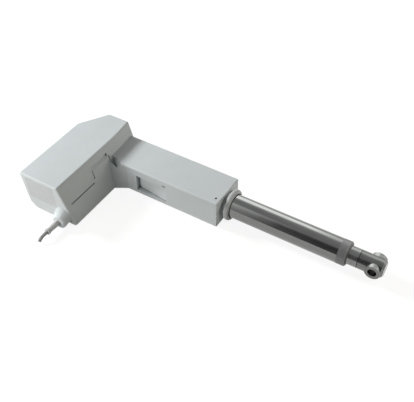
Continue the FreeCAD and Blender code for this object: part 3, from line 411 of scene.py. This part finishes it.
def slot_materials():
    """A material for each of the record's material slots."""
    return {
        "housing_plastic": moulded_plastic("housing_plastic", HOUSING_GREY, roughness=0.5),
        "collar_plastic": moulded_plastic("collar_plastic", COLLAR_GREY, roughness=0.5),
        "dark_plastic": moulded_plastic("dark_plastic", SWITCH_BLACK, roughness=0.45),
        "polished_tube": polished_tube(),
        "satin_ring": satin_ring(),
        "seal_rubber": seal_rubber(),
        "rod_steel": ground_steel(),
        "cast_alloy": cast_alloy(),
        "steel": machined_steel(),
        "bronze": sintered_bronze(),
        "gear_plastic": gear_plastic(),
        "magnet": ferrite(),
        "carbon": carbon(),
        "copper": enamelled_copper(),
        "board": circuit_board(),
        "cable_jacket": soft_vinyl("cable_jacket", JACKET_GREY),
    }


def dress_nodes(materials):
    for subpart in frame["record"]["subparts"]:
        dress(nodes[subpart["node"]], materials[subpart["material_slot"]])
    dress(nodes["rod_end"], cast_end())
    dress(nodes["rod_end_pin"], materials["rod_steel"])
    dress(nodes["cable_boot"], soft_vinyl("boot_vinyl", BOOT_GREY))


# Bare rating plate on the motor cover's label face, which leans in towards its foot

PLATE_WIDTH = 0.050
PLATE_HEIGHT = 0.038
PLATE_LEFT = 0.0265
PLATE_TOP = 0.0375
PLATE_THICKNESS = 0.0003
PLATE_CORNER = 0.002
CORNER_STEPS = 6
LABEL_LEAN = 5.0 / 64.5  # millimetres inwards over the cover's height


def rounded_corners(width, height, radius):
    """The outline of a rectangle with round corners, from its lower left."""
    centres = [(radius, radius, 180), (width - radius, radius, 270),
               (width - radius, height - radius, 0), (radius, height - radius, 90)]
    points = []
    for across, up, start in centres:
        for i in range(CORNER_STEPS + 1):
            angle = math.radians(start + 90 * i / CORNER_STEPS)
            points.append((across + radius * math.cos(angle), up + radius * math.sin(angle)))
    return points


def make_plate():
    cover_low, cover_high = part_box("motor_cover")
    up = Vector((0, -LABEL_LEAN, 1)).normalized()
    out = Vector((0, -1, -LABEL_LEAN)).normalized()
    top = Vector((PLATE_LEFT, cover_low.y + LABEL_LEAN * (cover_high.z - PLATE_TOP), PLATE_TOP))
    corner = top - up * PLATE_HEIGHT
    shape = bmesh.new()
    edge = []
    for across, height in rounded_corners(PLATE_WIDTH, PLATE_HEIGHT, PLATE_CORNER):
        edge.append(shape.verts.new(corner + Vector((across, 0, 0)) + up * height))
    raised = bmesh.ops.extrude_face_region(shape, geom=[shape.faces.new(edge)])["geom"]
    for item in raised:
        if isinstance(item, bmesh.types.BMVert):
            item.co += out * PLATE_THICKNESS
    plate = mesh_piece("label_plate", shape)
    dress(plate, label_film())
    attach(plate, "frame")


# Housing screws, seen from below, with six-lobe recesses

SCREW_PLACES = [(x, y) for x in (0.0339, 0.0890) for y in (-0.1243, -0.0390)]
HEAD_RADIUS = 0.00375
HEAD_HEIGHT = 0.0024
HEAD_CHAMFER = 0.0004
SHANK_RADIUS = 0.0020
TIP_RADIUS = 0.0014
RECESS_RADIUS = 0.0016
RECESS_DEPTH = 0.0015
LOBE_COUNT = 6
LOBE_HEIGHT = 0.00026
RING_STEPS = 48
SHARP_ANGLE = math.radians(35)


def ring(shape, centre, height, radius, lobe=0.0):
    """A ring of points round an upright axis, with lobes where the lobe's height isn't 0."""
    points = []
    for i in range(RING_STEPS):
        angle = 2 * math.pi * i / RING_STEPS
        reach = radius + lobe * math.cos(LOBE_COUNT * angle)
        place = (centre[0] + reach * math.cos(angle), centre[1] + reach * math.sin(angle), height)
        points.append(shape.verts.new(place))
    return points


def add_screw(shape, centre, face, tip):
    """One screw from its recess round the head and up the shank to its tip."""
    back = face + HEAD_HEIGHT
    rings = [
        ring(shape, centre, face + RECESS_DEPTH, RECESS_RADIUS, LOBE_HEIGHT),
        ring(shape, centre, face, RECESS_RADIUS, LOBE_HEIGHT),
        ring(shape, centre, face, HEAD_RADIUS - HEAD_CHAMFER),
        ring(shape, centre, face + HEAD_CHAMFER, HEAD_RADIUS),
        ring(shape, centre, back, HEAD_RADIUS),
        ring(shape, centre, back, SHANK_RADIUS),
        ring(shape, centre, tip + TIP_RADIUS - SHANK_RADIUS, SHANK_RADIUS),
        ring(shape, centre, tip, TIP_RADIUS),
    ]
    for lower, upper in zip(rings, rings[1:]):
        for i in range(RING_STEPS):
            j = (i + 1) % RING_STEPS
            shape.faces.new((lower[i], lower[j], upper[j], upper[i]))
    shape.faces.new(rings[0])
    shape.faces.new(rings[-1])


def make_screws(material):
    low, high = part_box("housing_screws")
    shape = bmesh.new()
    for centre in SCREW_PLACES:
        add_screw(shape, centre, low.z, high.z)
    screws = mesh_piece("housing_screw_set", shape)
    screws.data.shade_smooth()
    screws.data.set_sharp_from_angle(angle=SHARP_ANGLE)
    dress(screws, material)
    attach(screws, "frame")
    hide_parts("housing_screws")


# Floor, light and background

WHITE = (1.0, 1.0, 1.0)
FLOOR_REACH = 20.0
FLOOR_SEEN = (0.22, 0.22, 0.22)
FLOOR_UNSEEN = (0.40, 0.395, 0.38)
FLOOR_MIDDLE = Vector((0.30, -0.06, 0.0))
FLOOR_GLOW = ((0.28, 0.87), (0.62, 1.0))
AMBIENT = (0.020, 0.0195, 0.0185)

Lamp = namedtuple("Lamp", "azimuth elevation distance size power colour")
LAMP_TARGET = Vector((0.06, -0.05, 0.0))
LAMPS = {
    "key": Lamp(184, 35, 1.60, 0.38, 28.0, WHITE),
    "front": Lamp(251, 13, 0.75, 0.52, 4.5, (1.0, 0.968, 0.935)),
    "fill": Lamp(15, 26, 0.85, 0.60, 1.45, (1.0, 0.937, 0.825)),
    "rear": Lamp(42, 8, 1.30, 0.80, 3.0, (1.0, 0.96, 0.90)),
}

# What polished metal sees of the room, as stops of (part of the direction it looks in, level).
# The walls, the softbox behind the part and the window on the left go by the direction's y,
# the ceiling by its z, and the right wall and each fade by its x.
ROOM_WALLS = ((-0.95, 0.14), (-0.75, 0.10), (-0.60, 0.18), (-0.45, 0.50),
              (0.30, 0.60), (0.50, 1.0), (1.0, 0.9))
RIGHT_WALL = ((0.30, 0.0), (0.90, 0.18))
SOFTBOX = ((0.52, 0.0), (0.66, 2.2), (0.88, 2.2), (0.95, 0.0))
SOFTBOX_FADE = ((-0.23, 1.0), (-0.185, 0.35))
WINDOW = ((-0.98, 0.5), (-0.65, 1.0), (-0.48, 1.1), (-0.30, 0.2), (-0.10, 0.0))
WINDOW_FADE = ((-0.34, 1.0), (-0.25, 0.0))
CEILING = ((0.40, 0.0), (0.54, 1.7), (0.70, 1.7), (0.84, 0.0))
CEILING_FADE = ((-0.60, 1.0), (-0.46, 0.0), (0.48, 0.0), (0.62, 1.0))


def combine(tree, operation, first, second):
    item = tree.nodes.new("ShaderNodeMath")
    item.operation = operation
    tree.links.new(first, item.inputs[0])
    tree.links.new(second, item.inputs[1])
    return item.outputs["Value"]


def choose(tree, factor, off, on):
    """The shader off where the factor is 0, and the shader on where it is 1."""
    item = tree.nodes.new("ShaderNodeMixShader")
    tree.links.new(factor, item.inputs["Fac"])
    tree.links.new(off, item.inputs[1])
    tree.links.new(on, item.inputs[2])
    return item.outputs["Shader"]


def ramp(tree, source, stops):
    """A curve through the stops, (value, level), with smooth steps between them."""
    first, last = stops[0][0], stops[-1][0]
    span = tree.nodes.new("ShaderNodeMapRange")
    span.inputs["From Min"].default_value = first
    span.inputs["From Max"].default_value = last
    tree.links.new(source, span.inputs["Value"])
    curve = tree.nodes.new("ShaderNodeValToRGB")
    curve.color_ramp.interpolation = "EASE"
    for value, _ in stops[1:-1]:
        curve.color_ramp.elements.new((value - first) / (last - first))
    for stop, (_, level) in zip(curve.color_ramp.elements, stops):
        stop.color = (level, level, level, 1)
    tree.links.new(span.outputs["Result"], curve.inputs["Fac"])
    return curve.outputs["Color"]


def is_shown(tree):
    """1 for rays from the camera, off gloss and through glass, and 0 for light that spreads."""
    path = tree.nodes.new("ShaderNodeLightPath")
    shown = path.outputs["Is Camera Ray"]
    for name in ("Is Glossy Ray", "Is Transmission Ray"):
        shown = combine(tree, "MAXIMUM", shown, path.outputs[name])
    return shown


def diffuse(tree, colour):
    item = tree.nodes.new("ShaderNodeBsdfDiffuse")
    item.inputs["Color"].default_value = (*colour, 1)
    return item.outputs["BSDF"]


def floor_glow(tree):
    """A glow that is weaker round the part, where its shadow falls, and white further off."""
    away = tree.nodes.new("ShaderNodeVectorMath")
    away.operation = "DISTANCE"
    away.inputs[1].default_value = FLOOR_MIDDLE
    tree.links.new(tree.nodes.new("ShaderNodeTexCoord").outputs["Object"], away.inputs[0])
    glow = tree.nodes.new("ShaderNodeEmission")
    tree.links.new(ramp(tree, away.outputs["Value"], FLOOR_GLOW), glow.inputs["Strength"])
    return glow.outputs["Emission"]


def floor_material():
    """Near white where it is shown, and a plain grey for the light that it throws back."""
    material = bpy.data.materials.new("floor")
    material.use_nodes = True
    tree = material.node_tree
    tree.nodes.clear()
    seen = tree.nodes.new("ShaderNodeAddShader")
    tree.links.new(diffuse(tree, FLOOR_SEEN), seen.inputs[0])
    tree.links.new(floor_glow(tree), seen.inputs[1])
    surface = choose(tree, is_shown(tree), diffuse(tree, FLOOR_UNSEEN), seen.outputs["Shader"])
    output = tree.nodes.new("ShaderNodeOutputMaterial")
    tree.links.new(surface, output.inputs["Surface"])
    return material


def make_floor():
    far, low = FLOOR_REACH, cad_low.z
    corners = [(-far, -far, low), (far, -far, low), (far, far, low), (-far, far, low)]
    mesh = bpy.data.meshes.new("floor")
    mesh.from_pydata(corners, [], [(0, 1, 2, 3)])
    floor = link(bpy.data.objects.new("floor", mesh))
    dress(floor, floor_material())


def background(tree, colour):
    item = tree.nodes.new("ShaderNodeBackground")
    item.inputs["Color"].default_value = (*colour, 1)
    return item


def room_light(tree):
    """The walls and, added to them, the softbox, window and ceiling, each faded by direction."""
    parts = tree.nodes.new("ShaderNodeSeparateXYZ")
    direction = tree.nodes.new("ShaderNodeTexCoord").outputs["Generated"]
    tree.links.new(direction, parts.inputs["Vector"])
    x, y, z = (parts.outputs[name] for name in "XYZ")
    lights = ((y, SOFTBOX, SOFTBOX_FADE), (y, WINDOW, WINDOW_FADE), (z, CEILING, CEILING_FADE))
    room = combine(tree, "ADD", ramp(tree, y, ROOM_WALLS), ramp(tree, x, RIGHT_WALL))
    for part, stops, fade in lights:
        light = combine(tree, "MULTIPLY", ramp(tree, part, stops), ramp(tree, x, fade))
        room = combine(tree, "ADD", room, light)
    return room


def make_world():
    """White to the camera, dim to what spreads light, and a room to polished metal."""
    world = bpy.data.worlds.new("studio")
    scene.world = world
    world.use_nodes = True
    tree = world.node_tree
    tree.nodes.clear()
    room, white = background(tree, WHITE), background(tree, WHITE)
    tree.links.new(room_light(tree), room.inputs["Color"])
    path = tree.nodes.new("ShaderNodeLightPath")
    shown = background(tree, AMBIENT).outputs["Background"]
    rays = (("Is Glossy Ray", room), ("Is Transmission Ray", white), ("Is Camera Ray", white))
    for name, shade in rays:
        shown = choose(tree, path.outputs[name], shown, shade.outputs["Background"])
    output = tree.nodes.new("ShaderNodeOutputWorld")
    tree.links.new(shown, output.inputs["Surface"])


def make_lamps():
    """Each lamp faces the part; polished metal mirrors the world's room and not the lamps."""
    for name, lamp in LAMPS.items():
        light = bpy.data.lights.new(name, "AREA")
        light.size = lamp.size
        light.energy = lamp.power
        light.color = lamp.colour
        turn, rise = math.radians(lamp.azimuth), math.radians(lamp.elevation)
        level = math.cos(rise)
        towards = Vector((math.cos(turn) * level, math.sin(turn) * level, math.sin(rise)))
        item = link(bpy.data.objects.new(name, light))
        item.location = LAMP_TARGET + towards * lamp.distance
        item.visible_glossy = False
        item.rotation_mode = "QUATERNION"
        item.rotation_quaternion = towards.to_track_quat("Z", "Y")


make_camera()
cable = make_cable()
materials = slot_materials()
dress(cable, materials["cable_jacket"])
dress_nodes(materials)
make_plate()
make_screws(materials["steel"])
make_floor()
make_world()
make_lamps()
